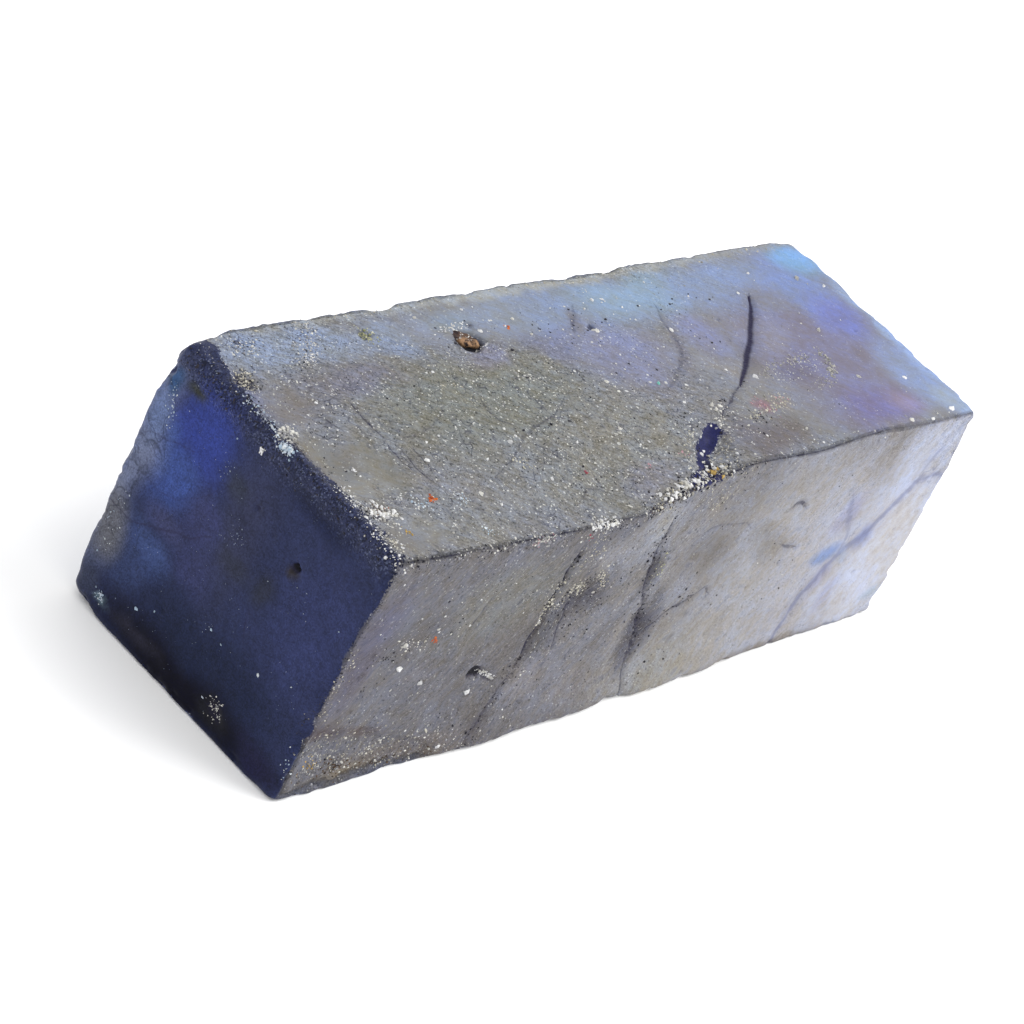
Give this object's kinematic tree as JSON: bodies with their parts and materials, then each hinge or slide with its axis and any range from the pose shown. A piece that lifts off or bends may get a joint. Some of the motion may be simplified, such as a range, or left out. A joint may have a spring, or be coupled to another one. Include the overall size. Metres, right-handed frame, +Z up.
{
  "type": "rough sapphire chunk",
  "caption": "Rough natural sapphire: a short, nearly square bar of blue-grey corundum with worn edges, cracks and clinging grit.",
  "frame": {"origin": "middle of the underside, the middle of the bounding box in X and Y and its lowest level in Z", "axes": "+X along the bar from the dark near end to the pale far end, +Z up from the face it lies on, -Y the frosted front face"},
  "size_m": [0.0708, 0.024, 0.0216],
  "materials": {
    "sapphire": "translucent deep blue corundum with a frosted blue-grey skin and glossy worn spots",
    "pale_grit": "clear, white and straw-coloured grains of sand and crumbled stone that cling to the surface",
    "rust_grit": "matt rust-brown and orange mineral grains",
    "dark_grit": "matt near-black mineral specks"
  },
  "bodies": {
    "root": {"sapphire_chunk": "sapphire"}
  },
  "joints": []
}
